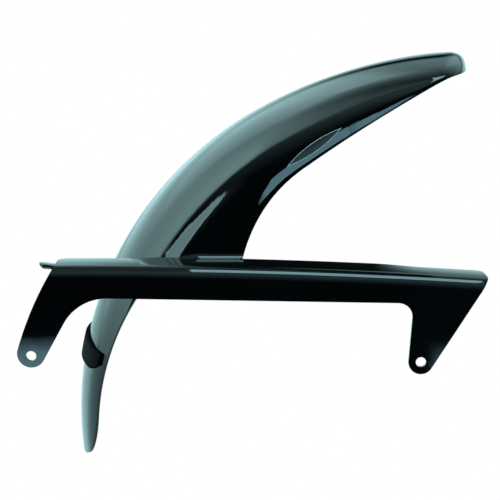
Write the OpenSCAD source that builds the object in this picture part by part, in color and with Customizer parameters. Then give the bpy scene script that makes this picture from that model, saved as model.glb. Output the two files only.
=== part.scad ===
// Rear hugger mudguard for a motorcycle: an arched mudguard over the tyre,
// a web on its chain side and an L-section chain guard with two fixing lugs.
// Frame: X to the rear, Z up, Y away from the chain side. The origin is midway
// between the two fixing holes, on the outer face of the chain guard.

/* [Fixing holes] */
// Distance between the two fixing holes
hole_pitch = 356; // [340:1:372]
// Diameter of each fixing hole
hole_d = 9.4; // [6:0.2:12]

/* [Wall] */
// Thickness of the moulded wall
wall = 3.2; // [2.4:0.1:4.5]

/* [Wheel] */
// Wheel axle behind the middle of the holes
axle_x = 198.5; // [190:0.5:206]
// Wheel axle below the line of the holes
axle_drop = 88.5; // [82:0.5:95]
// Wheel centre plane behind the chain guard's outer face
wheel_y = 148; // [140:1:160]

/* [Mudguard arch] */
// Outer radius of the crown over the front of the tyre
front_r = 347; // [338:1:356]
// Outer radius of the crown over the top of the tyre
rear_r = 457; // [440:1:475]
// Angle above the axle where the two crown radii meet
join_angle = 60; // [54:1:66]
// Half of the arch's outer width
arch_half_w = 92; // [84:1:98]
// Radius of the crown across the tyre
crown_r = 187; // [150:1:240]
// Half width of the flat part of the crown
crown_half_w = 66; // [50:1:72]
// Radius of the slight inward curve of the side walls below the shoulder
side_r = 200; // [150:10:400]
// Angle of the lower front tip below the axle
tip_angle = 6.6; // [4:0.2:10]
// Length of the rounded lower tip, as an angle
tip_round = 8; // [5:0.5:14]
// Angle of the rear end, seen from the centre of the rear crown radius
end_angle = 86.5; // [84:0.1:89]
// Length of the rounded rear end, as an angle
end_round = 6.5; // [4:0.1:9]
// Length over which the crown turns down at the rear end, as an angle
nose_round = 2; // [1:0.1:4]
// Depth by which the crown turns down at the rear end
nose_drop = 5; // [2:0.5:8]
// Depth of the section at the rear end, as a share of the section in front
end_flat = 0.5; // [0.4:0.05:0.8]

/* [Side edges of the arch] */
// Centre of the front edge's arc ahead of the axle
front_edge_x = 72; // [60:0.5:85]
// Centre of that arc below the axle
front_edge_z = 4.5; // [0:0.5:20]
// Radius of the long rear edge, seen from the side
rear_edge_r = 1500; // [1200:10:2400]
// Slope of the long rear edge at its middle
rear_edge_slope = 33.2; // [31:0.1:35]
// Place of that middle along the rear crown, as an angle from its centre
rear_edge_a = 73.6; // [71:0.1:76]
// Depth of that middle below the crown
rear_edge_depth = 41.3; // [38:0.1:45]
// Depth of the edge below the crown at the rear end
end_lip = 14.5; // [10:0.5:18]
// Softness of the bend where the rear edge meets that depth
lip_soft = 4; // [1:0.5:8]

/* [Web] */
// Distance of the foot's front end behind the crown, at the height of the foot
foot_behind = 48.8; // [42:0.1:55]
// Length of the web's foot on the chain guard
foot_len = 68; // [60:0.5:76]
// Radius of the web's rear edge, seen from the side
web_edge_r = 145; // [125:1:170]
// Outward step from the arch's side to the foot of the web
web_step = 12; // [6:0.5:16]
// Height over which the web flares out to its foot
web_flare_h = 72; // [50:1:95]
// Depth below the crown at which the step begins
web_step_depth = 37; // [34:0.5:42]
// Width of the sloping step
web_step_w = 10.5; // [6:0.5:14]
// Radius of the fillet where the web stands on the chain guard
foot_fillet = 5; // [2:0.5:9]
// Reach of the flange past the inner face of the web's foot
foot_lip = 0.8; // [0.4:0.1:2]
// Length over which that fillet grows from nothing, as an angle
foot_grow = 4; // [2:0.5:7]

/* [Chain guard] */
// Width of the top flange
flange_w = 47; // [44:1:52]
// Height of the flange's highest line over the holes
guard_top = 84.3; // [74:0.1:95]
// Highest line of the flange ahead of the middle of the holes
guard_crest_x = 40; // [0:1:80]
// Radius of the slight bow along the top
guard_bow_r = 5750; // [4000:50:9000]
// Outer radius of the corner between flange and side
guard_corner_r = 12; // [6:0.5:16]
// Height of the side's lower edge over the holes
guard_low = 55; // [48:0.5:60]
// Radius of the inner corners of the flange in plan
flange_corner_r = 9; // [4:0.5:14]
// Slope of the front leg's rear edge
front_leg_slope = 62; // [58:0.5:66]
// Radius of the bowed front edge of the front leg
front_bow_r = 326; // [240:1:500]
// Front end of the flange ahead of the front hole
front_top_lead = 21.5; // [16:0.5:27]
// Radius of the front leg's lug
front_lug_r = 12.9; // [11:0.1:16]
// Height of the front lug's centre over its hole
front_lug_up = 2; // [0:0.1:4]
// Radius of the rear leg's lug
rear_lug_r = 11.4; // [10:0.1:15]
// Slope of the rear leg's front edge
rear_leg_slope = 87; // [82:0.5:90]
// Slope of the rear leg's rear edge
rear_end_slope = 59.3; // [54:0.1:66]
// Radius between the front leg and the lower edge
front_fillet_r = 45; // [20:1:55]
// Radius between the lower edge and the rear leg
rear_fillet_r = 13; // [6:0.5:24]

/* [Front tongue] */
// Reach of the tongue ahead of the flange
tongue_reach = 17.5; // [8:0.5:22]
// Length of the tongue's root behind the front of the flange
tongue_root = 16; // [10:0.5:24]
// Place of the step behind the front of the flange
tongue_step_x = 7; // [4:0.5:9]
// Width of the tongue
tongue_w = 12; // [8:0.5:16]
// Distance of the tongue's middle from the outer face
tongue_y = 32; // [24:0.5:36]
// Thickness of the tongue
tongue_t = 4.5; // [3:0.5:6]
// Step from the top of the flange down to the tongue
tongue_step = 4.5; // [3.5:0.5:7]
// Upward lean of the tongue towards its tip
tongue_lean = 6; // [0:0.5:10]

/* [Buffer strip] */
// Thickness of the strip
strip_t = 3.6; // [2:0.1:6]
// Half of the strip's length, measured along the crown and its shoulder
strip_half = 84; // [72:0.5:92]
// Angle of the strip's lower edge above the axle
strip_low_a = 9.2; // [7:0.1:11]
// Angle of the strip's upper edge above the axle
strip_top_a = 12.8; // [12:0.1:16]
// Width of the strip's cut-off lower corners
strip_cut_w = 12; // [4:0.5:20]
// Height of the strip's cut-off lower corners
strip_cut_h = 8; // [3:0.5:12]
// Adhesive layer between the strip and the crown
strip_glue = 0.2; // [0.1:0.05:0.4]

/* [Hidden] */

$fn = 96;
axle_z = -axle_drop;
// Divisions of a full turn for the guard's long bow and for the strip
bow_fn = 1800;
strip_fn = 720;
// Parts of the strip's outline in each half
strip_parts = 24;
// Reach of cutters that run clear of the faces they cut
past = 10;
// Share of a rounded end at which the loft stops, so that its last ring keeps a size
past_end = 0.997;
// Least distance between points of a ring, and the loft's run-out behind the foot
least_gap = 0.8;
foot_run_out = 1.6;

// Crown centres: the front one is the axle, the rear one keeps both arcs tangent
front_c = [axle_x, axle_z];
rear_c = front_c + (rear_r - front_r) * [cos(join_angle), -sin(join_angle)];

// Section of the arch: crown arc, shoulder arc, then a side that curves in slightly
crown_a = asin(crown_half_w / crown_r);
crown_depth = crown_r * (1 - cos(crown_a));
crown_len = crown_r * crown_a * PI / 180;
shoulder_r = (arch_half_w - crown_half_w) / (1 - sin(crown_a));
shoulder_len = shoulder_r * (90 - crown_a) * PI / 180;
shoulder_c = [crown_half_w - shoulder_r * sin(crown_a), crown_depth + shoulder_r * cos(crown_a)];
side_c = [arch_half_w - side_r, shoulder_c[1]];
side_start = crown_len + shoulder_len;

// Turn of the surface away from facing straight out, at length s along the section
function section_turn(s) =
    s < crown_len ? s / crown_r * 180 / PI
    : s < side_start ? crown_a + (s - crown_len) / shoulder_r * 180 / PI
    : 90 + (s - side_start) / side_r * 180 / PI;

// Distance from the middle and depth below the crown, at length s along the section
function section_point(s) =
    let (a = section_turn(s), d = [sin(a), -cos(a)])
    s < crown_len ? [0, crown_r] + crown_r * d
    : s < side_start ? shoulder_c + shoulder_r * d
    : side_c + side_r * d;

// Length along the section at which it is the given depth below the crown
function section_length(depth) =
    depth < crown_depth ? crown_r * acos(1 - depth / crown_r) * PI / 180
    : depth < shoulder_c[1] ? crown_len
        + shoulder_r * (acos((shoulder_c[1] - depth) / shoulder_r) - crown_a) * PI / 180
    : side_start + side_r * asin((depth - shoulder_c[1]) / side_r) * PI / 180;

// Distance from c to a circle's far side, along the ray at angle a over the front
function ray_to_circle(c, a, centre, r) =
    let (d = centre - c, along = d * [-cos(a), sin(a)])
    along + sqrt(max(0, along * along + r * r - d * d));

// The web's foot ends inside the thickness of the flange
foot_z = guard_top - wall / 2;
foot_front = sqrt(front_r * front_r - pow(foot_z - axle_z, 2)) - foot_behind;
foot_rear = foot_front - foot_len;
foot_front_p = [axle_x - foot_front, foot_z];
foot_rear_p = [axle_x - foot_rear, foot_z];
foot_front_a = atan2(foot_z - axle_z, foot_front);
foot_rear_a = atan2(foot_z - axle_z, foot_rear);

// Centre of a circle of radius r that meets point p and touches the circle (c, big) inside,
// on the right of the line from c to p
function touching_centre(p, r, c, big) =
    let (d = norm(p - c), u = (p - c) / d, q = big - r, x = (q * q - r * r + d * d) / (2 * d))
    c + x * u + sqrt(q * q - x * x) * [u[1], -u[0]];

// Free edges: each is the far side of a circle, seen from the crown centre
front_edge_c = front_c - [front_edge_x, front_edge_z];
front_edge_r = norm(foot_front_p - front_edge_c);
rear_edge_mid = rear_c + (rear_r - rear_edge_depth) * [-cos(rear_edge_a), sin(rear_edge_a)];
rear_edge_c = rear_edge_mid + rear_edge_r * [sin(rear_edge_slope), -cos(rear_edge_slope)];
web_edge_c = touching_centre(foot_rear_p, web_edge_r, rear_edge_c, rear_edge_r);
web_top = rear_edge_c + rear_edge_r * (web_edge_c - rear_edge_c) / (rear_edge_r - web_edge_r);
web_top_a = atan2(web_top[1] - axle_z, axle_x - web_top[0]);

// Stations along the crown, closer together in both rounded ends
tip_start_a = tip_round - tip_angle;
end_start_a = end_angle - end_round;
station_angles = concat(
    [for (i = [0 : 8]) tip_start_a - tip_round * sin(90 - i * 90 / 9) * past_end],
    [for (i = [0 : 9]) tip_start_a + (foot_front_a - tip_start_a) * sin(i * 9)],
    [for (i = [0 : 11]) foot_front_a + (foot_rear_a - foot_front_a) * pow(i / 12, 1.5)],
    [for (i = [0 : 2]) foot_rear_a + foot_run_out * i / 3],
    [for (i = [0 : 5]) foot_rear_a + foot_run_out + (join_angle - foot_rear_a - foot_run_out) * i / 6],
    [for (i = [0 : 7]) join_angle + (end_start_a - join_angle) * i / 8],
    [for (i = [0 : 10]) end_start_a + end_round * sin(i * 90 / 10) * past_end]);
function arc_centre(a) = a < join_angle ? front_c : rear_c;
function arc_radius(a) = a < join_angle ? front_r : rear_r;

// Height of a quarter of an ellipse at share t of its length
function quarter(t) = sqrt(1 - pow(min(max(t, 0), past_end), 2));

// The front tip closes in along its edges, the rear end in plan and in side view
function tip_factor(a) = quarter((tip_start_a - a) / tip_round);
function end_factor(a) = quarter((a - end_start_a) / end_round);
function nose(a) = nose_drop * (1 - quarter((a + nose_round - end_angle) / nose_round));

// Share of the full section depth, which falls towards the rear end
function flat_factor(a) = 1 - (1 - end_flat) * ease((a - join_angle) / (end_angle - join_angle));

// Distance of the free edge or of the foot from the crown centre
function edge_radius(a, near) =
    let (c = arc_centre(a),
         front = ray_to_circle(c, a, front_edge_c, front_edge_r),
         rear = ray_to_circle(c, a, rear_edge_c, rear_edge_r))
    !near ? max(front, rear)
    : a <= foot_front_a ? front
    : a <= foot_rear_a ? (foot_z - c[1]) / sin(a)
    : a < web_top_a ? ray_to_circle(c, a, web_edge_c, web_edge_r) : rear;
// Depth of the free edge below the crown, which stays at the lip's depth at the rear end
function edge_depth(a, near) =
    let (d = max(0.5, arc_radius(a) - edge_radius(a, near)))
    a < join_angle ? d * tip_factor(a)
    : (d + end_lip + norm([d - end_lip, lip_soft])) / 2 - nose(a);
function edge_length(a, near) = section_length(edge_depth(a, near) / flat_factor(a));

// Smooth rise from 0 to 1
function ease(t) = let (u = min(max(t, 0), 1)) u * u * (3 - 2 * u);

// Outward step of the web, which dies out at the top of the flare
function web_out(depth, z) =
    web_step * pow(1 - min(max((z - guard_top) / web_flare_h, 0), 1), 1.3)
        * ease((depth - web_step_depth) / web_step_w);

// Fillet on the outside of the web's foot, which grows from the foot's front end
function fillet_r(a) = foot_fillet * ease((a - foot_front_a) / foot_grow);
function foot_out(a, z) =
    let (r = fillet_r(a), h = r - max(z - guard_top, 0))
    h > 0 ? r - sqrt(r * r - h * h) : 0;

// Lengths along the near half: crown, shoulder, step, web and foot. Each keeps its
// place on the section, but closes up on the next one where the edge comes first
step_len = section_length(web_step_depth);
web_len = section_length(front_r - (foot_z - axle_z) / sin(foot_rear_a));
near_places = concat([for (i = [0 : 4]) crown_len * i / 4],
    [for (i = [1 : 6]) crown_len + (step_len - crown_len) * i / 6],
    [for (i = [1 : 4]) step_len + web_step_w * i / 4],
    [step_len + web_step_w + (web_len - step_len - web_step_w) * 0.4]);
function near_lengths(a) =
    let (end = edge_length(a, true),
         tail = min((fillet_r(a) + wall / 2) / sin(max(a, foot_front_a)), 0.1 * end),
         n = len(near_places) - 1,
         gap = min(least_gap, (end - tail) / (n + 1)))
    concat([for (k = [0 : n]) min(near_places[k], end - tail - (n + 1 - k) * gap)],
           [for (t = [0, 0.4, 0.7]) end - tail * (1 - t)], [end]);
function far_lengths(a) =
    let (end = edge_length(a, false), crown = min(crown_len, 0.6 * end))
    concat([for (i = [1 : 4]) crown * i / 4], [for (i = [1 : 7]) crown + (end - crown) * i / 7]);

// The inside ends one wall short of the outside at the rear end
inner_share = 1 - wall / (end_round * rear_r * PI / 180);
function inner_angle(a) = a > end_start_a ? end_start_a + (a - end_start_a) * inner_share : a;

// A point of the arch: side is -1 for the web's side, inset is 0 outside and wall inside
function arch_point(a, s, side, inset) =
    let (p = section_point(s) + inset * [-sin(section_turn(s)), cos(section_turn(s))],
         place = inset > 0 ? inner_angle(a) : a,
         c = arc_centre(a),
         r = arc_radius(a) - p[1] * flat_factor(a) - nose(a),
         z = c[1] + r * sin(place),
         on_web = side < 0 && a < join_angle,
         out = (on_web ? web_out(p[1], z) : 0) + (on_web && inset == 0 ? foot_out(a, z) : 0))
    [c[0] - r * cos(place), wheel_y + side * (p[0] * end_factor(a) + out), z];

// One closed ring: outside from the near edge over the crown, then back inside
function arch_ring(a) =
    let (near = near_lengths(a), far = far_lengths(a), n = len(near) - 1, m = len(far) - 1)
    concat([for (i = [0 : n]) arch_point(a, near[n - i], -1, 0)],
           [for (i = [0 : m]) arch_point(a, far[i], 1, 0)],
           [for (i = [0 : m]) arch_point(a, far[m - i], 1, wall)],
           [for (i = [0 : n]) arch_point(a, near[i], -1, wall)]);

// Solid skin over a row of closed rings. Each ring's first half lies outside and its second
// half inside, in turned order, so each end is closed by a strip between the two
module skin(rings) {
    n = len(rings[0]);
    last = (len(rings) - 1) * n;
    polyhedron(
        points = [for (ring = rings) each ring],
        faces = concat(
            [for (k = [0 : n / 2 - 2]) each quad(n - 1 - k, n - 2 - k, k + 1, k)],
            [for (i = [0 : n : last - n], k = [0 : n - 1])
                each quad(i + k, i + (k + 1) % n, i + n + (k + 1) % n, i + n + k)],
            [for (k = [0 : n / 2 - 2])
                each quad(last + k, last + k + 1, last + n - 2 - k, last + n - 1 - k)]),
        convexity = 10);
}
function quad(a, b, c, d) = [[a, b, c], [a, c, d]];

// Arch and web as one lofted moulding
module arch_and_web() {
    skin([for (a = station_angles) arch_ring(a)]);
}

module square_from(low, high) {
    translate(low) square(high - low);
}

// Revolves a section about an axis across the machine, from the front over the top
module revolve_over(centre, from_a, to_a, divisions) {
    translate([centre[0], 0, centre[1]]) rotate([90, 0, 180]) rotate([0, 0, from_a])
        rotate_extrude(angle = to_a - from_a, $fn = divisions) children();
}

// Extrudes an outline drawn as seen from the chain side, between two depths
module side_extrude(from_y, to_y) {
    translate([0, to_y, 0]) rotate([90, 0, 0]) linear_extrude(to_y - from_y) children();
}

// Chain guard: places along the side, from the holes
front_hole = [-hole_pitch / 2, 0];
rear_hole = [hole_pitch / 2, 0];
front_lug = front_hole + [0, front_lug_up];
guard_drop = guard_top + 2 * front_lug_r;
bow_c = [-guard_crest_x, guard_top - guard_bow_r];

// The rear leg's edges touch its lug, which lies round the rear hole
rear_front_p = rear_hole + rear_lug_r * [-sin(rear_leg_slope), cos(rear_leg_slope)];
rear_end_p = rear_hole + rear_lug_r * [sin(rear_end_slope), -cos(rear_end_slope)];
rear_end_x = rear_end_p[0] + (guard_top - rear_end_p[1]) / tan(rear_end_slope);
// The front leg's rear edge touches its lug
front_leg_p = front_lug + front_lug_r * [sin(front_leg_slope), -cos(front_leg_slope)];
// The front leg's bowed front edge touches the lug and ends at the flange
front_top_p = [front_hole[0] + front_top_lead, guard_top];

// Far edge of the flange under the web, just past the inner face of the web's foot
foot_parts = 12;
foot_edge = [for (i = [0.5 : foot_parts - 0.5])
    let (a = foot_front_a + (foot_rear_a - foot_front_a) * i / foot_parts)
    arch_point(a, edge_length(a, true), -1, wall + foot_lip)];
guard_reach = max([for (p = foot_edge) max(p[1], flange_w)]);

// L-section of the guard: radius from the bow's centre across, depth from the face up
module guard_section() {
    corner = [guard_bow_r - guard_corner_r, guard_corner_r];
    square_from([guard_bow_r - wall, guard_corner_r], [guard_bow_r, guard_reach + past]);
    square_from([guard_bow_r - guard_drop, 0], [corner[0], wall]);
    intersection() {
        translate(corner) difference() {
            circle(guard_corner_r, $fn = 96);
            circle(guard_corner_r - wall, $fn = 96);
        }
        square_from([corner[0], 0], [guard_bow_r, guard_corner_r]);
    }
}

// Point on a line through p with slope a, at height z
function at_height(p, a, z) = [p[0] + (z - p[1]) / tan(a), z];

// Outline of the chain guard, seen from the chain side
module guard_outline() {
    top = guard_top + past;
    low_front = at_height(front_leg_p, front_leg_slope, guard_low);
    low_rear = at_height(rear_front_p, rear_leg_slope, guard_low);
    difference() {
        union() {
            intersection() {
                polygon([front_lug - [front_lug_r, 0], front_leg_p, low_front, low_rear,
                    rear_front_p, rear_hole, rear_end_p, at_height(rear_end_p, rear_end_slope, top),
                    [front_top_p[0] - 3 * past, top]]);
                front_bow();
            }
            translate(front_lug) circle(front_lug_r);
            translate(rear_hole) circle(rear_lug_r);
            inner_corner(low_front, 180 + front_leg_slope, 360, front_fillet_r);
            inner_corner(low_rear, 180, 180 + rear_leg_slope, rear_fillet_r);
        }
        translate(front_hole) circle(d = hole_d);
        translate(rear_hole) circle(d = hole_d);
    }
}

function along(a) = [cos(a), sin(a)];

// Fillet in the corner at p between edges that leave it at two angles
module inner_corner(p, from_a, to_a, r) {
    half = (to_a - from_a) / 2;
    middle = from_a + half;
    centre = p + r / sin(half) * along(middle);
    difference() {
        polygon([p - wall * along(middle), p + r / tan(half) * along(from_a), centre,
            p + r / tan(half) * along(to_a)]);
        translate(centre) circle(r);
    }
}

// Disc whose edge is the front leg's front edge: it touches the lug inside
module front_bow() {
    chord = front_top_p - front_lug;
    d = norm(chord);
    u = chord / d;
    near = front_bow_r - front_lug_r;
    x = (near * near - front_bow_r * front_bow_r + d * d) / (2 * d);
    translate(front_lug + x * u + sqrt(near * near - x * x) * [u[1], -u[0]])
        circle(front_bow_r, $fn = 720);
}

// Height of the bowed top at a place along the guard
function bow_height(x) = guard_top - pow(x + guard_crest_x, 2) / (2 * guard_bow_r);
rear_top_x = at_height(rear_end_p, rear_end_slope,
    bow_height(at_height(rear_end_p, rear_end_slope, guard_top)[0]))[0];

// Plan of the chain guard: its flange has rounded corners and runs out under the web's foot
module guard_plan() {
    low = [front_hole[0] - front_lug_r - past, -past];
    difference() {
        square_from(low, [rear_top_x + past, flange_w]);
        flange_corner(front_top_p[0], 1);
        flange_corner(rear_top_x, -1);
    }
    polygon(concat([[foot_edge[0][0], guard_corner_r]], [for (p = foot_edge) [p[0], p[1]]],
        [[foot_edge[foot_parts - 1][0], guard_corner_r]]));
}

// Cutter for an inner flange corner at x, whose arc lies towards the given side
module flange_corner(x, side) {
    r = flange_corner_r;
    difference() {
        translate([x + side * (r - past) / 2, flange_w + (past - r) / 2])
            square([past + r, past + r], center = true);
        translate([x + side * r, flange_w - r]) circle(r);
    }
}

// Chain guard with its tongue
module guard_with_tongue() {
    union() {
        chain_guard();
        tongue();
    }
}

module chain_guard() {
    front_reach = hole_pitch / 2 + 2 * front_lug_r - guard_crest_x;
    rear_reach = rear_top_x + past + guard_crest_x;
    intersection() {
        revolve_over(bow_c, 90 - asin(front_reach / guard_bow_r),
            90 + asin(rear_reach / guard_bow_r), bow_fn) guard_section();
        side_extrude(-past, guard_reach + past) guard_outline();
        translate([0, 0, -guard_drop]) linear_extrude(guard_drop + guard_top + past) guard_plan();
    }
}

// Stepped tongue under the front end of the flange, rounded at its tip
module tongue() {
    root = front_top_p[0] + tongue_root;
    step = front_top_p[0] + tongue_step_x;
    tip = front_top_p[0] - tongue_reach;
    seat = bow_height(step) - wall / 2;
    top = bow_height(step) - tongue_step;
    rise = tongue_reach * tan(tongue_lean);
    intersection() {
        side_extrude(tongue_y - tongue_w / 2, tongue_y + tongue_w / 2)
            polygon([[root, seat], [root, top - tongue_t], [tip + tongue_t, top - tongue_t + rise],
                [tip, top - tongue_t / 3 + rise], [tip, top + rise], [front_top_p[0] - wall, top],
                [step, top], [step, seat]]);
        translate([0, 0, guard_low]) linear_extrude(guard_top - guard_low) union() {
            square_from([tip + tongue_w / 2, 0], [root + past, flange_w]);
            translate([tip + tongue_w / 2, tongue_y]) circle(tongue_w / 2);
        }
    }
}

// The whole moulding in one piece
module hugger_shell() {
    color([0.02, 0.02, 0.025]) union() {
        arch_and_web();
        guard_with_tongue();
    }
}

// Point off the arch's section, at length s either way from the middle of the crown
function off_section(s, off) =
    let (a = section_turn(abs(s)), p = section_point(abs(s)) + off * [sin(a), -cos(a)])
    [front_r - p[1], s < 0 ? -p[0] : p[0]];

// Band that follows the crown and both shoulders
module strip_section() {
    lengths = [for (i = [-strip_parts : strip_parts]) strip_half * i / strip_parts];
    last = len(lengths) - 1;
    polygon(concat([for (s = lengths) off_section(s, strip_glue + strip_t)],
        [for (i = [0 : last]) off_section(lengths[last - i], strip_glue)]));
}

// Matt strip stuck across the crown of the lower front
module buffer_strip() {
    reach = section_point(strip_half)[0] + strip_t;
    low = axle_z + front_r * sin(strip_low_a);
    color([0.05, 0.05, 0.05]) intersection() {
        revolve_over(front_c, strip_low_a, strip_top_a, strip_fn)
            translate([0, wheel_y]) strip_section();
        translate([axle_x - front_r - past, wheel_y, low]) rotate([90, 0, 90]) linear_extrude(front_r)
            polygon([[strip_cut_w - reach, 0], [reach - strip_cut_w, 0], [reach, strip_cut_h],
                [reach, front_r], [-reach, front_r], [-reach, strip_cut_h]]);
    }
}

hugger_shell();
buffer_strip();
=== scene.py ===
"""Rear hugger mudguard in gloss black with a matt buffer strip, on a pale studio floor."""
import math

import bmesh
import bpy
from mathutils import Matrix, Vector


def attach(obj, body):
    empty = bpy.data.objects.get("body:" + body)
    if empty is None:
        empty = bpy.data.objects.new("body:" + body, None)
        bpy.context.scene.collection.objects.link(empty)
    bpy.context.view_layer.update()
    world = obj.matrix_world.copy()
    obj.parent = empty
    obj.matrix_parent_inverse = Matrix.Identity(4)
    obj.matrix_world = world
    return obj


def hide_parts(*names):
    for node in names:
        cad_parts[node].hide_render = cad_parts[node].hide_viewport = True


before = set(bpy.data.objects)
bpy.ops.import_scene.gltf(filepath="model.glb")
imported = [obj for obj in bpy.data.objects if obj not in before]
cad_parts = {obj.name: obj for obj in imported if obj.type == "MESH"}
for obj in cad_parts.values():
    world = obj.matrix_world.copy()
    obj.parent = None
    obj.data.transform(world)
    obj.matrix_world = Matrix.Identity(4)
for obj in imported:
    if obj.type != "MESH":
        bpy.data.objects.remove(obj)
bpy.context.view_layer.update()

MM = 0.001

# Sizes, in millimetres and degrees
WALL = 3.2
AXLE = (198.5, -88.5)
WHEEL_Y = 148.0
FRONT_R, REAR_R, JOIN_A = 347.0, 457.0, 60.0
ARCH_HALF_W, CROWN_R, CROWN_HALF_W, SIDE_R = 92.0, 187.0, 66.0, 200.0
TIP_A, TIP_ROUND = 6.6, 8.0
END_A, END_ROUND = 86.5, 4.2
NOSE_ROUND, NOSE_DROP = 1.7, 10.0
END_FLAT, END_LIP, LIP_SOFT = 0.5, 14.5, 4.0
FRONT_EDGE = (72.0, 4.5)
FAR_EDGE_A, FAR_CUT, FAR_CUT_A = 30.0, 12.0, 13.0  # the far side is shallower towards the tip
REAR_EDGE_R, REAR_EDGE_SLOPE, REAR_EDGE_A, REAR_EDGE_DEPTH = 1500.0, 33.2, 73.6, 41.3
FOOT_BEHIND, FOOT_LEN, WEB_EDGE_R = 48.8, 68.0, 145.0
WEB_STEP, WEB_FLARE_H, WEB_STEP_DEPTH, WEB_STEP_W = 12.0, 72.0, 38.6, 8.2
FOOT_FILLET, FOOT_GROW, FOOT_LIP = 5.0, 4.0, 0.8
HOLE_PITCH, HOLE_D = 356.0, 9.4
FLANGE_W, GUARD_TOP, CREST_X, BOW_R = 47.0, 84.3, -40.0, 5750.0
CORNER_R, GUARD_LOW, FLANGE_CORNER_R = 12.0, 55.0, 9.0
FRONT_LEG_SLOPE, FRONT_BOW_R, FRONT_TOP_LEAD = 62.0, 326.0, 21.5
FRONT_LUG_R, FRONT_LUG_UP, REAR_LUG_R = 12.9, 2.0, 11.4
REAR_LEG_SLOPE, REAR_END_SLOPE = 87.0, 59.3
FRONT_FILLET_R, REAR_FILLET_R = 45.0, 13.0
TONGUE_REACH, TONGUE_ROOT, TONGUE_STEP_X = 17.5, 16.0, 7.0
TONGUE_W, TONGUE_Y, TONGUE_T, TONGUE_STEP, TONGUE_LEAN = 12.0, 32.0, 4.5, 4.5, 6.0
STRIP_T, STRIP_HALF, STRIP_LOW_A, STRIP_TOP_A = 3.6, 84.0, 9.2, 12.8
STRIP_CUT_W, STRIP_CUT_H, STRIP_GLUE = 12.0, 8.0, 0.2
FLANGE_CROWN, CROWN_FRONT, CROWN_REAR = 1.3, (-60, 30), (135, 50)
EDGE_BEVEL, TONGUE_BEVEL, STRIP_BEVEL = 0.7, 0.6, 0.5
LENS, LENS_HALF_W, LENS_RIM = ((53.1, 169.9), (103.2, 207.0)), 4.3, 0.6

# The side tucks under towards the rear free edge and flares again at the edge itself:
# angle along the arch, width of the tuck, width of the flared rim and tilt in degrees
TUCKS = [(43.5, 1.5, 1, 12), (46, 5, 3, 13.5), (49, 9, 5, 13.5), (52, 12, 5, 12.5), (55, 12.8, 4.4, 9.8),
         (57.5, 12.8, 3.8, 7.4), (60, 12.8, 3.0, 5.9), (64, 12.8, 2.2, 5.7), (69, 13.0, 1.4, 5.7),
         (73.2, 8.6, 1.0, 5.8), (76.7, 5.6, 0.9, 6), (80, 3.6, 0.8, 6), (86.5, 2.0, 0.7, 6)]
TUCK_FROM_A, TUCK_GROW, TUCK_FADE, TUCK_STEPS = 43, 2, 5, 80


def sind(a):
    return math.sin(math.radians(a))


def cosd(a):
    return math.cos(math.radians(a))


def atand(z, x):
    return math.degrees(math.atan2(z, x))


def clamp(t):
    return min(max(t, 0.0), 1.0)


def ease(t):
    u = clamp(t)
    return u * u * (3 - 2 * u)


def soft_ramp(t, soft=0.15):
    """A straight ramp from 0 to 1 with its two ends rounded off."""
    t = clamp(t)
    if t > 0.5:
        return 1 - soft_ramp(1 - t, soft)
    rise = t * t / (2 * soft) if t < soft else t - soft / 2
    return rise / (1 - soft)


# The arch's section: crown, shoulder and side
CROWN_A = math.degrees(math.asin(CROWN_HALF_W / CROWN_R))
CROWN_DEPTH = CROWN_R * (1 - cosd(CROWN_A))
CROWN_LEN = math.radians(CROWN_A) * CROWN_R
SHOULDER_R = (ARCH_HALF_W - CROWN_HALF_W) / (1 - sind(CROWN_A))
SHOULDER_C = (CROWN_HALF_W - SHOULDER_R * sind(CROWN_A), CROWN_DEPTH + SHOULDER_R * cosd(CROWN_A))
SIDE_C = (ARCH_HALF_W - SIDE_R, SHOULDER_C[1])
SIDE_START = CROWN_LEN + SHOULDER_R * math.radians(90 - CROWN_A)


def section_turn(s):
    """How far the surface has turned from facing outwards, at length s from the middle."""
    if s < CROWN_LEN:
        return math.degrees(s / CROWN_R)
    if s < SIDE_START:
        return CROWN_A + math.degrees((s - CROWN_LEN) / SHOULDER_R)
    return 90 + math.degrees((s - SIDE_START) / SIDE_R)


def section_point(s):
    """Distance from the middle and depth below the crown, at length s."""
    a = section_turn(s)
    if s < CROWN_LEN:
        return CROWN_R * sind(a), CROWN_R - CROWN_R * cosd(a)
    if s < SIDE_START:
        return SHOULDER_C[0] + SHOULDER_R * sind(a), SHOULDER_C[1] - SHOULDER_R * cosd(a)
    return SIDE_C[0] + SIDE_R * sind(a), SIDE_C[1] - SIDE_R * cosd(a)


def section_length(depth):
    """Length along the section down to a depth below the crown."""
    if depth < CROWN_DEPTH:
        return CROWN_R * math.acos(1 - depth / CROWN_R)
    if depth < SHOULDER_C[1]:
        turn = math.degrees(math.acos((SHOULDER_C[1] - depth) / SHOULDER_R))
        return CROWN_LEN + SHOULDER_R * math.radians(turn - CROWN_A)
    return SIDE_START + SIDE_R * math.asin((depth - SHOULDER_C[1]) / SIDE_R)


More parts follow.
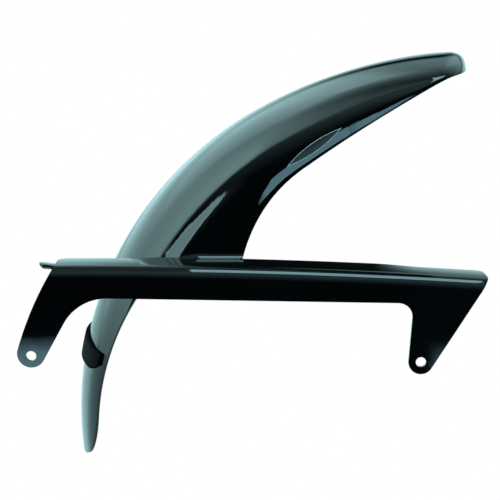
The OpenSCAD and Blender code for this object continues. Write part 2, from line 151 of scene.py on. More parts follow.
# The arch seen from the side: its circles and its free edge
REAR_C = (AXLE[0] + (REAR_R - FRONT_R) * cosd(JOIN_A), AXLE[1] - (REAR_R - FRONT_R) * sind(JOIN_A))
FOOT_Z = GUARD_TOP - WALL / 2
FOOT_RISE = FOOT_Z - AXLE[1]
FOOT_FRONT = math.sqrt(FRONT_R ** 2 - FOOT_RISE ** 2) - FOOT_BEHIND
FOOT_REAR = FOOT_FRONT - FOOT_LEN
FOOT_FRONT_A = atand(FOOT_RISE, FOOT_FRONT)
FOOT_REAR_A = atand(FOOT_RISE, FOOT_REAR)
FRONT_EDGE_C = (AXLE[0] - FRONT_EDGE[0], AXLE[1] - FRONT_EDGE[1])
FRONT_EDGE_R = math.hypot(AXLE[0] - FOOT_FRONT - FRONT_EDGE_C[0], FOOT_Z - FRONT_EDGE_C[1])
REAR_MID = (REAR_C[0] - (REAR_R - REAR_EDGE_DEPTH) * cosd(REAR_EDGE_A),
            REAR_C[1] + (REAR_R - REAR_EDGE_DEPTH) * sind(REAR_EDGE_A))
REAR_EDGE_C = (REAR_MID[0] + REAR_EDGE_R * sind(REAR_EDGE_SLOPE),
               REAR_MID[1] - REAR_EDGE_R * cosd(REAR_EDGE_SLOPE))


def touching_centre(p, r, c, big):
    """Centre of a circle of radius r through p that touches the circle (c, big) inside."""
    dx, dz = p[0] - c[0], p[1] - c[1]
    d = math.hypot(dx, dz)
    q = big - r
    x = (q * q - r * r + d * d) / (2 * d)
    y = math.sqrt(q * q - x * x)
    ux, uz = dx / d, dz / d
    return c[0] + x * ux + y * uz, c[1] + x * uz - y * ux


WEB_EDGE_C = touching_centre((AXLE[0] - FOOT_REAR, FOOT_Z), WEB_EDGE_R, REAR_EDGE_C, REAR_EDGE_R)
WEB_TOP = [REAR_EDGE_C[i] + REAR_EDGE_R * (WEB_EDGE_C[i] - REAR_EDGE_C[i]) / (REAR_EDGE_R - WEB_EDGE_R)
           for i in (0, 1)]
WEB_TOP_A = atand(WEB_TOP[1] - AXLE[1], AXLE[0] - WEB_TOP[0])
TIP_START = TIP_ROUND - TIP_A
END_START = END_A - END_ROUND


def arc_of(a):
    return (AXLE, FRONT_R) if a < JOIN_A else (REAR_C, REAR_R)


def ray_to_circle(c, a, centre, r):
    dx, dz = centre[0] - c[0], centre[1] - c[1]
    run = -dx * cosd(a) + dz * sind(a)
    return run + math.sqrt(max(0.0, run * run + r * r - dx * dx - dz * dz))


def quarter(t):
    return math.sqrt(max(0.0, 1 - clamp(t) ** 2))


def nose(a):
    return NOSE_DROP * (1 - quarter((a + NOSE_ROUND - END_A) / NOSE_ROUND))


def flat_factor(a):
    return 1 - (1 - END_FLAT) * ease((a - JOIN_A) / (END_A - JOIN_A))


def edge_radius(a, near):
    """Distance of the free edge from the arc's centre at angle a, on the web's side or the far one."""
    c, _ = arc_of(a)
    front = ray_to_circle(c, a, FRONT_EDGE_C, FRONT_EDGE_R)
    rear = ray_to_circle(c, a, REAR_EDGE_C, REAR_EDGE_R)
    if not near:
        return front + FAR_CUT * ease(1 - a / FAR_CUT_A) if a < FAR_EDGE_A else max(front, rear)
    if a <= FOOT_FRONT_A:
        return front
    if a <= FOOT_REAR_A:
        return (FOOT_Z - c[1]) / sind(a)
    return ray_to_circle(c, a, WEB_EDGE_C, WEB_EDGE_R) if a < WEB_TOP_A else rear


def edge_length(a, near):
    """Length along the section from the middle to the free edge."""
    d = max(0.5, arc_of(a)[1] - edge_radius(a, near))
    if a < JOIN_A:
        depth = d * quarter((TIP_START - a) / TIP_ROUND)
    else:
        depth = (d + END_LIP + math.hypot(d - END_LIP, LIP_SOFT)) / 2 - nose(a)
    return section_length(depth / flat_factor(a))


def web_out(depth, z):
    """How far the near side steps out to become the web: most at the foot, none high up."""
    flare = 1 - clamp((z - GUARD_TOP) / WEB_FLARE_H)
    width = WEB_STEP_W * max(0.12, flare) ** 0.8
    return WEB_STEP * flare ** 1.3 * soft_ramp((depth - WEB_STEP_DEPTH) / width)


def fillet_r(a):
    return FOOT_FILLET * ease((a - FOOT_FRONT_A) / FOOT_GROW)


def foot_out(a, z):
    """Fillet between the web's outer face and the flange."""
    r = fillet_r(a)
    h = r - max(z - GUARD_TOP, 0)
    return r - math.sqrt(max(0.0, r * r - h * h)) if h > 0 else 0.0


INNER_SHARE = 1 - WALL / (math.radians(END_ROUND) * REAR_R)
tucks = {}


def tuck_shape(a):
    """Width, rim and tilt of the tuck at angle a, from the table above."""
    for low, high in zip(TUCKS, TUCKS[1:]):
        if a <= high[0]:
            t = clamp((a - low[0]) / (high[0] - low[0]))
            return [p + (q - p) * t for p, q in zip(low[1:], high[1:])]
    return TUCKS[-1][1:]


def tuck_table(a, near):
    """How far the side draws in at each length along the section, near the rear free edge."""
    if (a, near) not in tucks:
        end, (width, rim, tilt) = edge_length(a, near), tuck_shape(a)
        c, r = arc_of(a)
        start = max(0.0, end - 2.2 * width - 4)
        rows, last = [], None
        for i in range(TUCK_STEPS + 1):
            s = start + (end - start) * i / TUCK_STEPS
            across, depth = section_point(s)
            depth *= flat_factor(a)
            if near and a < JOIN_A:
                across += web_out(depth / flat_factor(a), c[1] + (r - depth) * sind(a))
            rows.append((s, across, depth))
        low = rows[-1][2]
        amount = ease((a - TUCK_FROM_A) / TUCK_GROW) * ease((END_A - a) / TUCK_FADE)
        drawn, table, rim_slope = 0.0, [], 0.16 - 0.13 * ease((a - 50) / 14)
        for s, across, depth in rows:
            if last:
                step = max(1e-6, depth - last[1])
                slope = (across - last[0]) / step
                left = low - (depth + last[1]) / 2
                pull = min(0.0, -math.tan(math.radians(tilt)) - slope) * ease((width + 1.5 - left) / 3)
                pull += (rim_slope - slope - pull) * ease((rim + 0.8 - left) / 1.6)
                drawn += pull * step * amount
            table.append(drawn)
            last = (across, depth)
        tucks[a, near] = (start, end, table)
    return tucks[a, near]


def tuck(a, s, near):
    start, end, table = tuck_table(a, near)
    t = clamp((s - start) / max(1e-6, end - start)) * TUCK_STEPS
    i = min(TUCK_STEPS - 1, int(t))
    return table[i] + (table[i + 1] - table[i]) * (t - i)


def arch_point(a, s, inset):
    """A point of the arch; s is negative on the web's side, inset runs from face to face."""
    side = -1 if s < 0 else 1
    turn = section_turn(abs(s))
    across, depth = section_point(abs(s))
    across -= inset * sind(turn)
    depth += inset * cosd(turn)
    place = END_START + (a - END_START) * INNER_SHARE if inset > 0 and a > END_START else a
    c, r = arc_of(a)
    r -= depth * flat_factor(a) + nose(a)
    z = c[1] + r * sind(place)
    out = 0.0
    if side < 0 and a < JOIN_A:
        out = web_out(depth, z) + (foot_out(a, z) if inset == 0 else 0.0)
    if a > TUCK_FROM_A:
        across += tuck(a, abs(s), side < 0)
    across = across * quarter((a - END_START) / END_ROUND) + out
    return Vector((c[0] - r * cosd(place), WHEEL_Y + side * across, z)) * MM


# Help for modelling
def deselect():
    if bpy.context.mode != "OBJECT":
        bpy.ops.object.mode_set(mode="OBJECT")
    bpy.ops.object.select_all(action="DESELECT")


def only(obj):
    deselect()
    obj.select_set(True)
    bpy.context.view_layer.objects.active = obj
    return obj


def apply_modifier(obj, kind, **settings):
    only(obj)
    m = obj.modifiers.new(kind.lower(), kind)
    for key, value in settings.items():
        setattr(m, key, value)
    bpy.ops.object.modifier_apply(modifier=m.name)


def add_grid(name, across, along):
    """A plain grid with the given numbers of points, ready to be drawn out to its form."""
    deselect()
    bpy.ops.mesh.primitive_grid_add(x_subdivisions=across - 1, y_subdivisions=along - 1, size=1)
    obj = bpy.context.object
    obj.name = obj.data.name = name
    return obj


def form_grid(obj, across, along, place):
    """Moves each point of the grid to place(column, row)."""
    for v in obj.data.vertices:
        col = round((v.co.x + 0.5) * (across - 1))
        row = round((v.co.y + 0.5) * (along - 1))
        v.co = place(col, row)
    obj.data.update()


def join(first, *others):
    only(first)
    for o in others:
        o.select_set(True)
    bpy.ops.object.join()
    return first


def face_outwards(obj):
    only(obj)
    bpy.ops.object.mode_set(mode="EDIT")
    bpy.ops.mesh.select_all(action="SELECT")
    bpy.ops.mesh.normals_make_consistent(inside=False)
    bpy.ops.object.mode_set(mode="OBJECT")


def turn_over(obj):
    only(obj)
    bpy.ops.object.mode_set(mode="EDIT")
    bpy.ops.mesh.select_all(action="SELECT")
    bpy.ops.mesh.flip_normals()
    bpy.ops.object.mode_set(mode="OBJECT")


def weld(obj, distance=0.00001):
    only(obj)
    bpy.ops.object.mode_set(mode="EDIT")
    bpy.ops.mesh.select_all(action="SELECT")
    bpy.ops.mesh.remove_doubles(threshold=distance)
    bpy.ops.object.mode_set(mode="OBJECT")


def smooth(obj, angle=30):
    only(obj)
    bpy.ops.object.shade_smooth_by_angle(angle=math.radians(angle))


def finish_piece(obj, material, slot, *nodes):
    obj.data.materials.clear()
    obj.data.materials.append(material)
    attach(obj, "root")
    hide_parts(*nodes)


# Arch and web
TIP_ROWS, END_ROWS = 22, 30
ROWS = ([("tip", 1 - i / TIP_ROWS) for i in range(TIP_ROWS)]
        + [("run", TIP_START + (FOOT_FRONT_A - TIP_START) * i / 44) for i in range(44)]
        + [("run", FOOT_FRONT_A + (FOOT_REAR_A - FOOT_FRONT_A) * i / 26) for i in range(26)]
        + [("run", FOOT_REAR_A + 2 * i / 6) for i in range(6)]
        + [("run", FOOT_REAR_A + 2 + (JOIN_A - FOOT_REAR_A - 2) * i / 24) for i in range(24)]
        + [("run", JOIN_A + (END_START - JOIN_A) * i / 34) for i in range(34)]
        + [("run", END_START + END_ROUND * sind(90 * i / END_ROWS)) for i in range(END_ROWS + 1)])
STEP_LEN = section_length(WEB_STEP_DEPTH)
COLUMN_KEYS = ((CROWN_LEN, 0.34, 18), (STEP_LEN, 0.56, 20), (STEP_LEN + WEB_STEP_W, 0.68, 12))
TAIL_COLS, WEB_COLS = 9, 16


def half_lengths(a, near):
    """Places of one half's columns, from the middle of the crown to the free edge.

    Both halves have as many columns, so that they meet point for point in the nose.
    """
    end = edge_length(a, near)
    tail = min((fillet_r(a) + WALL / 2) / sind(max(a, FOOT_FRONT_A)), 0.1 * end)
    out, last = [], 0.0
    for key, share, cols in COLUMN_KEYS:
        here = min(key, share * end)
        out += [last + (here - last) * i / cols for i in range(cols)]
        last = here
    here = end - max(tail, 0.04 * end)
    out += [last + (here - last) * i / WEB_COLS for i in range(WEB_COLS)]
    out += [here + (end - here) * i / TAIL_COLS for i in range(TAIL_COLS + 1)]
    return out


def row_places(kind, t):
    """Angle and length along the section of each point in one row of the arch."""
    if kind == "run":
        near, far = half_lengths(t, True), half_lengths(t, False)
        return [(t, -s) for s in reversed(near)] + [(t, s) for s in far[1:]]
    out = []
    near, far = half_lengths(TIP_START, True), half_lengths(TIP_START, False)
    for v in [-s / near[-1] for s in reversed(near)] + [s / far[-1] for s in far[1:]]:
        p = t * math.sqrt(1 - v * v / 2)
        q = v * math.sqrt(1 - t * t / 2)
        a = TIP_START - TIP_ROUND * p
        reach = math.sqrt(max(1e-9, 1 - p * p))
        out.append((a, edge_length(a, v < 0) * max(-1.0, min(1.0, q / reach))))
    return out


def arch_skin(name, inset):
    places = [row_places(kind, t) for kind, t in ROWS]
    across, along = len(places[0]), len(places)
    skin = add_grid(name, across, along)
    form_grid(skin, across, along, lambda c, r: arch_point(*places[r][c], inset))
    weld(skin)
    return skin


def make_arch():
    """Arch and web: an outer and an inner skin, closed round their free edge."""
    arch = join(arch_skin("arch_and_web", 0.0), arch_skin("arch_inside", WALL))
    bpy.ops.object.mode_set(mode="EDIT")
    bpy.ops.mesh.select_mode(type="EDGE")
    bpy.ops.mesh.select_all(action="DESELECT")
    bpy.ops.mesh.select_non_manifold()
    bpy.ops.mesh.bridge_edge_loops()
    bpy.ops.object.mode_set(mode="OBJECT")
    face_outwards(arch)
    apply_modifier(arch, "BEVEL", width=EDGE_BEVEL * MM, segments=2, limit_method="ANGLE",
                   angle_limit=math.radians(50), use_clamp_overlap=True)
    smooth(arch, 40)
    return arch


# Chain guard
FRONT_HOLE = Vector((-HOLE_PITCH / 2, 0))
REAR_HOLE = Vector((HOLE_PITCH / 2, 0))
FRONT_LUG = FRONT_HOLE + Vector((0, FRONT_LUG_UP))
FRONT_TOP = Vector((FRONT_HOLE.x + FRONT_TOP_LEAD, GUARD_TOP))
REAR_END = REAR_HOLE + REAR_LUG_R * Vector((sind(REAR_END_SLOPE), -cosd(REAR_END_SLOPE)))
BOW_C = Vector((CREST_X, GUARD_TOP - BOW_R))
OUTLINE_ABOVE, OUTLINE_DEPTH, GUARD_SPAN = 12.0, (-20, 80), (-212.0, 256.0)


def along(a):
    return Vector((cosd(a), sind(a)))


def bow_height(x):
    return BOW_C.y + math.sqrt(BOW_R ** 2 - (x - BOW_C.x) ** 2)


def at_height(p, a, z):
    return Vector((p.x + (z - p.y) / math.tan(math.radians(a)), z))


def arc(c, r, a0, a1, steps):
    return [c + r * along(a0 + (a1 - a0) * i / steps) for i in range(steps + 1)]


def fillet(p, from_a, to_a, r, steps=16):
    """Arc in the corner at p, between the edges that leave it at from_a and to_a."""
    half = (to_a - from_a) / 2
    c = p + r / sind(half) * along(from_a + half)
    return arc(c, r, from_a - 90, to_a - 270, steps)


def guard_outline():
    """The guard seen from the chain side: flange line above, two legs and their lugs below."""
    lug = FRONT_LUG
    chord = FRONT_TOP - lug
    d = chord.length
    u = chord / d
    near = FRONT_BOW_R - FRONT_LUG_R
    x = (near ** 2 - FRONT_BOW_R ** 2 + d * d) / (2 * d)
    bow_c = lug + x * u + math.sqrt(near ** 2 - x * x) * Vector((u.y, -u.x))
    touch = lug - bow_c
    touch_a = atand(touch.y, touch.x) % 360
    high = GUARD_TOP + OUTLINE_ABOVE
    top_a = 180 - math.degrees(math.asin((high - bow_c.y) / FRONT_BOW_R))
    leg = lug + FRONT_LUG_R * Vector((sind(FRONT_LEG_SLOPE), -cosd(FRONT_LEG_SLOPE)))
    rear_leg = REAR_HOLE + REAR_LUG_R * Vector((-sind(REAR_LEG_SLOPE), cosd(REAR_LEG_SLOPE)))
    low_front = at_height(leg, FRONT_LEG_SLOPE, GUARD_LOW)
    low_rear = at_height(rear_leg, REAR_LEG_SLOPE, GUARD_LOW)
    pts = arc(bow_c, FRONT_BOW_R, top_a, touch_a, 40)
    pts += arc(lug, FRONT_LUG_R, touch_a, FRONT_LEG_SLOPE + 270, 36)[1:]
    pts += fillet(low_front, FRONT_LEG_SLOPE + 180, 360, FRONT_FILLET_R)
    pts += fillet(low_rear, 180, 180 + REAR_LEG_SLOPE, REAR_FILLET_R)
    pts += arc(REAR_HOLE, REAR_LUG_R, REAR_LEG_SLOPE + 90, REAR_END_SLOPE + 270, 30)
    pts.append(at_height(REAR_END, REAR_END_SLOPE, high))
    return pts


def prism(name, pts, y0, y1):
    """A closed block with the given outline in side view."""
    mesh = bpy.data.meshes.new(name)
    bm = bmesh.new()
    ring = [bm.verts.new((p.x * MM, y0 * MM, p.y * MM)) for p in pts]
    bm.faces.new(ring)
    bm.to_mesh(mesh)
    bm.free()
    obj = bpy.data.objects.new(name, mesh)
    bpy.context.scene.collection.objects.link(obj)
    only(obj)
    bpy.ops.object.mode_set(mode="EDIT")
    bpy.ops.mesh.select_all(action="SELECT")
    bpy.ops.mesh.extrude_region_move(TRANSFORM_OT_translate={"value": (0, (y1 - y0) * MM, 0)})
    bpy.ops.object.mode_set(mode="OBJECT")
    face_outwards(obj)
    return obj


def cut(obj, tool, operation):
    apply_modifier(obj, "BOOLEAN", object=tool, operation=operation, solver="EXACT")
    bpy.data.objects.remove(tool)


def foot_edge():
    """Far edge of the flange under the web, just past the inside of the web's foot."""
    out = []
    for i in range(12):
        a = FOOT_FRONT_A + (FOOT_REAR_A - FOOT_FRONT_A) * (i + 0.5) / 12
        p = arch_point(a, -edge_length(a, True), WALL + FOOT_LIP) / MM
        out.append((p.x, p.y))
    return out


def flange_reach(x, ends):
    """Width of the flange at x, with rounded corners at its ends and the foot's run-out."""
    reach = FLANGE_W
    for end, way in ends:
        d = FLANGE_CORNER_R - (x - end) * way
        if d > 0:
            reach -= FLANGE_CORNER_R * (1 - quarter(d / FLANGE_CORNER_R))
    edge = foot_edge()
    for (x0, y0), (x1, y1) in zip(edge, edge[1:]):
        if x0 <= x <= x1:
            reach = max(reach, y0 + (y1 - y0) * (x - x0) / (x1 - x0))
    return reach


def make_guard():
    """Chain guard: a long L-section swept along its bow, cut to its side outline."""
    low = GUARD_TOP + 2 * FRONT_LUG_R
    corner = [(math.radians(90 * i / 12)) for i in range(13)]
    section = [(low - (low - CORNER_R) * i / 10, 0.0) for i in range(10)]
    section += [(CORNER_R * (1 - math.sin(t)), CORNER_R * (1 - math.cos(t))) for t in corner]
    flange_cols = 14
    x0, x1, rows = *GUARD_SPAN, 157
    rear_top = bow_height(at_height(REAR_END, REAR_END_SLOPE, GUARD_TOP).x)
    rear_x = at_height(REAR_END, REAR_END_SLOPE, rear_top).x
    ends = ((FRONT_TOP.x, 1), (rear_x, -1))
    keys = sorted({round(x0 + (x1 - x0) * i / (rows - 1), 3) for i in range(rows)}
                  | {round(FRONT_TOP.x + FLANGE_CORNER_R * (1 - cosd(6 * i)), 3) for i in range(16)}
                  | {round(rear_x - FLANGE_CORNER_R * (1 - cosd(6 * i)), 3) for i in range(16)}
                  | {round(p[0], 3) for p in foot_edge()}
                  | {round(foot_edge()[0][0] - 0.05, 3), round(foot_edge()[-1][0] + 0.05, 3)})
    across, count = len(section) + flange_cols, len(keys)
    guard = add_grid("chain_guard", across, count)

    def place(c, r):
        x = keys[r]
        bow = math.asin((x - BOW_C.x) / BOW_R)
        if c < len(section):
            drop, y = section[c]
        else:
            share = (c - len(section) + 1) / flange_cols
            away = ease((CROWN_FRONT[0] - x) / CROWN_FRONT[1]) + ease((x - CROWN_REAR[0]) / CROWN_REAR[1])
            y = CORNER_R + (flange_reach(x, ends) - CORNER_R) * share
            drop = FLANGE_CROWN * away * ((y - CORNER_R) / (FLANGE_W - CORNER_R)) ** 2
        return Vector((x - drop * math.sin(bow), y, BOW_C.y + (BOW_R - drop) * math.cos(bow))) * MM

    form_grid(guard, across, count, place)
    face_outwards(guard)
    if guard.data.polygons[0].normal.y > 0:
        turn_over(guard)
    apply_modifier(guard, "SOLIDIFY", thickness=WALL * MM, offset=-1, use_even_offset=True)
    cut(guard, prism("outline", guard_outline(), *OUTLINE_DEPTH), "INTERSECT")
    for hole in (FRONT_HOLE, REAR_HOLE):
        deselect()
        bpy.ops.mesh.primitive_cylinder_add(vertices=64, radius=HOLE_D / 2 * MM, depth=0.04,
                                            location=(hole.x * MM, 0, hole.y * MM),
                                            rotation=(math.pi / 2, 0, 0))
        cut(guard, bpy.context.object, "DIFFERENCE")
    apply_modifier(guard, "BEVEL", width=EDGE_BEVEL * MM, segments=3, limit_method="ANGLE",
                   angle_limit=math.radians(45), use_clamp_overlap=True)
    smooth(guard, 35)
    apply_modifier(guard, "WEIGHTED_NORMAL", keep_sharp=True)
    return guard


# Front tongue
def make_tongue():
    """Small stepped tongue under the flange's front end, round at its tip."""
    root, step = FRONT_TOP.x + TONGUE_ROOT, FRONT_TOP.x + TONGUE_STEP_X
    tip = FRONT_TOP.x - TONGUE_REACH
    seat = bow_height(step) - WALL / 2
    top = bow_height(step) - TONGUE_STEP
    rise = TONGUE_REACH * math.tan(math.radians(TONGUE_LEAN))
    side = [(root, seat), (root, top - TONGUE_T), (tip + TONGUE_T, top - TONGUE_T + rise),
            (tip, top - TONGUE_T / 3 + rise), (tip, top + rise), (FRONT_TOP.x - WALL, top),
            (step, top), (step, seat)]
    tongue = prism("front_tongue", [Vector(p) for p in side],
                   TONGUE_Y - TONGUE_W / 2, TONGUE_Y + TONGUE_W / 2)
    half = TONGUE_W / 2
    plan = arc(Vector((tip + half, TONGUE_Y)), half, 90, 270, 24)
    plan += [Vector((root + 10, TONGUE_Y - half - 1)), Vector((root + 10, TONGUE_Y + half + 1))]
    mould = prism("tongue_plan", [Vector((p.x, p.y)) for p in plan], -200, 200)
    mould.data.transform(Matrix(((1, 0, 0, 0), (0, 0, 1, 0), (0, -1, 0, 0), (0, 0, 0, 1))))
    cut(tongue, mould, "INTERSECT")
    apply_modifier(tongue, "BEVEL", width=TONGUE_BEVEL * MM, segments=3, limit_method="ANGLE",
                   angle_limit=math.radians(30))
    smooth(tongue, 35)
    return tongue


# Buffer strip
def make_strip():
    """Matt strip over the crown of the lower front, with its lower corners cut off."""
    across, rows = 97, 9
    reach = section_point(STRIP_HALF)[0] + STRIP_T
    low = AXLE[1] + FRONT_R * sind(STRIP_LOW_A)

    def place(c, r):
        s = STRIP_HALF * (2 * c / (across - 1) - 1)
        turn, (dist, depth) = section_turn(abs(s)), section_point(abs(s))
        y = dist + STRIP_GLUE * sind(turn)
        radius = FRONT_R - depth + STRIP_GLUE * cosd(turn)
        z = low + STRIP_CUT_H * clamp((y - reach + STRIP_CUT_W) / STRIP_CUT_W)
        bottom = math.degrees(math.asin((z - AXLE[1]) / radius))
        a = bottom + (STRIP_TOP_A - bottom) * r / (rows - 1)
        return Vector((AXLE[0] - radius * cosd(a), WHEEL_Y + math.copysign(y, s),
                       AXLE[1] + radius * sind(a))) * MM

    strip = add_grid("buffer_strip_pad", across, rows)
    form_grid(strip, across, rows, place)
    face_outwards(strip)
    if strip.data.polygons[len(strip.data.polygons) // 2].normal.x > 0:
        turn_over(strip)
    apply_modifier(strip, "SOLIDIFY", thickness=STRIP_T * MM, offset=1, use_even_offset=True)
    apply_modifier(strip, "BEVEL", width=STRIP_BEVEL * MM, segments=3, limit_method="ANGLE",
                   angle_limit=math.radians(50))
    smooth(strip, 40)
    return strip


# Materials
def new_material(name):
    m = bpy.data.materials.new(name)
    m.use_nodes = True
    nodes, links = m.node_tree.nodes, m.node_tree.links
    shader = nodes["Principled BSDF"]
    coords = nodes.new("ShaderNodeTexCoord")
    return m, nodes, links, shader, coords


def add_noise(nodes, links, coords, scale, detail, rough=0.5):
    n = nodes.new("ShaderNodeTexNoise")
    n.inputs["Scale"].default_value = scale
    n.inputs["Detail"].default_value = detail
    n.inputs["Roughness"].default_value = rough
    links.new(coords.outputs["Object"], n.inputs["Vector"])
    return n


def add_ramp(nodes, links, source, stops):
    ramp = nodes.new("ShaderNodeValToRGB")
    while len(ramp.color_ramp.elements) < len(stops):
        ramp.color_ramp.elements.new(0.5)
    for e, (pos, col) in zip(ramp.color_ramp.elements, stops):
        e.position = pos
        e.color = (*col, 1.0)
    links.new(source, ramp.inputs["Fac"])
    return ramp


def math_node(nodes, links, kind, *values):
    n = nodes.new("ShaderNodeMath")
    n.operation = kind
    for i, v in enumerate(values):
        if isinstance(v, (int, float)):
            n.inputs[i].default_value = v
        else:
            links.new(v, n.inputs[i])
    return n.outputs["Value"]


def lens_patch(nodes, links, coords):
    """Masks of the plain lens-shaped patch on the arch's side, and of its thin pale border."""
    (x0, z0), (x1, z1) = LENS
    half, turn = math.hypot(x1 - x0, z1 - z0) / 2, math.atan2(z1 - z0, x1 - x0)
    place = nodes.new("ShaderNodeMapping")
    place.vector_type = "TEXTURE"
    place.inputs["Location"].default_value = ((x0 + x1) / 2 * MM, 0, (z0 + z1) / 2 * MM)
    place.inputs["Rotation"].default_value = (0, -turn, 0)
    place.inputs["Scale"].default_value = (half * MM, 0.1, MM)
    links.new(coords.outputs["Object"], place.inputs["Vector"])
    split = nodes.new("ShaderNodeSeparateXYZ")
    links.new(place.outputs["Vector"], split.inputs["Vector"])

    def node(kind, *values):
        return math_node(nodes, links, kind, *values)

    square = node("MULTIPLY", split.outputs["X"], split.outputs["X"])
    bulge = node("MULTIPLY", node("SUBTRACT", 1.0, square), LENS_HALF_W)
    inside = node("SUBTRACT", bulge, node("ABSOLUTE", split.outputs["Z"]))
    near = node("LESS_THAN", split.outputs["Y"], 1.0)
    patch = node("MULTIPLY", near, node("GREATER_THAN", inside, 0.0))
    rim = node("MULTIPLY", patch, node("LESS_THAN", inside, LENS_RIM))
    return patch, rim


def gloss_black():
    """Moulded gloss plastic: near black, with a faint flow in its gloss and colour."""
    m, nodes, links, shader, coords = new_material("gloss_black_moulding")
    flow = add_noise(nodes, links, coords, 9.0, 3.0)
    tone = add_ramp(nodes, links, flow.outputs["Fac"],
                    [(0.35, (0.0009, 0.0012, 0.0015)), (0.65, (0.0018, 0.0023, 0.0027))])
    patch, rim = lens_patch(nodes, links, coords)
    plain = nodes.new("ShaderNodeMix")
    plain.data_type = "RGBA"
    plain.inputs["B"].default_value = (0.0045, 0.0062, 0.0068, 1)
    links.new(patch, plain.inputs["Factor"])
    links.new(tone.outputs["Color"], plain.inputs["A"])
    edged = nodes.new("ShaderNodeMix")
    edged.data_type = "RGBA"
    edged.inputs["B"].default_value = (0.30, 0.38, 0.40, 1)
    links.new(rim, edged.inputs["Factor"])
    links.new(plain.outputs["Result"], edged.inputs["A"])
    links.new(edged.outputs["Result"], shader.inputs["Base Color"])
    sheen = nodes.new("ShaderNodeMapRange")
    sheen.inputs["To Min"].default_value = 0.012
    sheen.inputs["To Max"].default_value = 0.03
    links.new(flow.outputs["Fac"], sheen.inputs["Value"])
    satin = nodes.new("ShaderNodeMix")
    satin.inputs["B"].default_value = 0.42
    links.new(patch, satin.inputs["Factor"])
    links.new(sheen.outputs["Result"], satin.inputs["A"])
    links.new(satin.outputs["Result"], shader.inputs["Roughness"])
    shader.inputs["IOR"].default_value = 1.5
    ripple = add_noise(nodes, links, coords, 60.0, 2.0)
    bump = nodes.new("ShaderNodeBump")
    bump.inputs["Strength"].default_value = 0.05
    bump.inputs["Distance"].default_value = 0.0002
    links.new(ripple.outputs["Fac"], bump.inputs["Height"])
    links.new(bump.outputs["Normal"], shader.inputs["Normal"])
    return m


def matt_black():
    """Matt rubber with a fine grain."""
    m, nodes, links, shader, coords = new_material("matt_black_rubber")
    cloud = add_noise(nodes, links, coords, 40.0, 4.0)
    tone = add_ramp(nodes, links, cloud.outputs["Fac"],
                    [(0.3, (0.0018, 0.0021, 0.0024)), (0.7, (0.0040, 0.0045, 0.0050))])
    links.new(tone.outputs["Color"], shader.inputs["Base Color"])
    shader.inputs["Roughness"].default_value = 0.7
    shader.inputs["Specular IOR Level"].default_value = 0.02
    grain = add_noise(nodes, links, coords, 2600.0, 2.0, 0.7)
    bump = nodes.new("ShaderNodeBump")
    bump.inputs["Strength"].default_value = 0.4
    bump.inputs["Distance"].default_value = 0.0001
    links.new(grain.outputs["Fac"], bump.inputs["Height"])
    links.new(bump.outputs["Normal"], shader.inputs["Normal"])
    return m


# Floor, light and camera
# Brightness of the studio round the part, each as (degrees, value): ROUND goes by the bearing from
# +Y towards +X, and UP by the height over level, which for the wall is measured on a flat wall
WALL_ROUND = [(-180, 0.004), (-160, 0.01), (-142, 0.02), (-139, 1.0), (-135, 4.0), (-127, 4.35),
              (-115, 4.0), (-105, 3.6), (-90, 3.1), (-75, 2.65), (-60, 2.1), (-45, 1.55), (-30, 1.4),
              (-16, 1.3), (-7, 0.7), (-2.5, 0.12), (0, 0.004), (6, 0.004), (9, 0.3), (30, 0.35),
              (60, 0.2), (100, 0.1), (180, 0.004)]
WALL_UP = [(-90, 0.2), (-30, 0.2), (-15, 0.36), (-5, 0.5), (5, 0.67), (15, 0.9), (25, 0.97), (35, 1.0),
           (50, 0.97), (56, 0.9), (61, 0.5), (66, 0.25), (72, 0.1), (90, 0.05)]
WALL_FACING = -80.0
GLOW_ROUND = [(-180, 0), (-80, 0), (-40, 0.4), (-15, 1), (40, 1), (80, 0), (180, 0)]
GLOW_UP = [(-90, 0), (-20, 0.6), (4, 0.75), (8, 0.35), (11.5, 0.0), (90, 0)]
BACK_ROUND = [(-180, 0), (-60, 0), (-15, 1), (60, 1), (110, 0), (180, 0)]
BACK_UP = [(-90, 0), (14.5, 0), (18, 0.4), (25, 0.42), (50, 0.35), (70, 0.05), (90, 0)]
CEILING_ROUND = [(-180, 1), (-130, 1), (-60, 0.4), (110, 0.4), (140, 1), (180, 1)]
CEILING_UP = [(-90, 0), (13, 0), (20, 0.08), (30, 0.15), (40, 0.3), (50, 0.5), (68, 0.5), (78, 0.3),
              (90, 0.15)]
FRONT_ROUND = [(-180, 0), (-175, 0), (-174, 1), (-155, 1), (-140, 0), (145, 0), (155, 1), (171.9, 1),
               (172.4, 0), (180, 0)]
FRONT_UP = [(-90, 0.5), (-40, 0.8), (-28, 3.4), (-15.5, 3.4), (-15.3, 0), (90, 0)]


# Camera: degrees, metres, and picture sizes in pixels
CAMERA_HEIGHT, CAMERA_ROLL, CAMERA_DEPTH = 11.5, 0.9, 1.366
PICTURE, FOCAL, ORIGIN_IN_PICTURE = 500, 1496.0, (226.05, 359.15)
LAMP_SIZE, LAMP_POWER, LAMP_COLOUR, LAMP_PLACE = (1.03, 1.45), 32, (0.5, 0.88, 1.0), (0.365, -0.275, 3.08)
FLOOR_X, FLOOR_Y, FLOOR_Z = (-3.0, 3.0), (-0.5, 7.5), -0.2
WALL_TINT, FRONT_TINT = (0.66, 1.08, 1.12), (0.56, 1.09, 1.30)


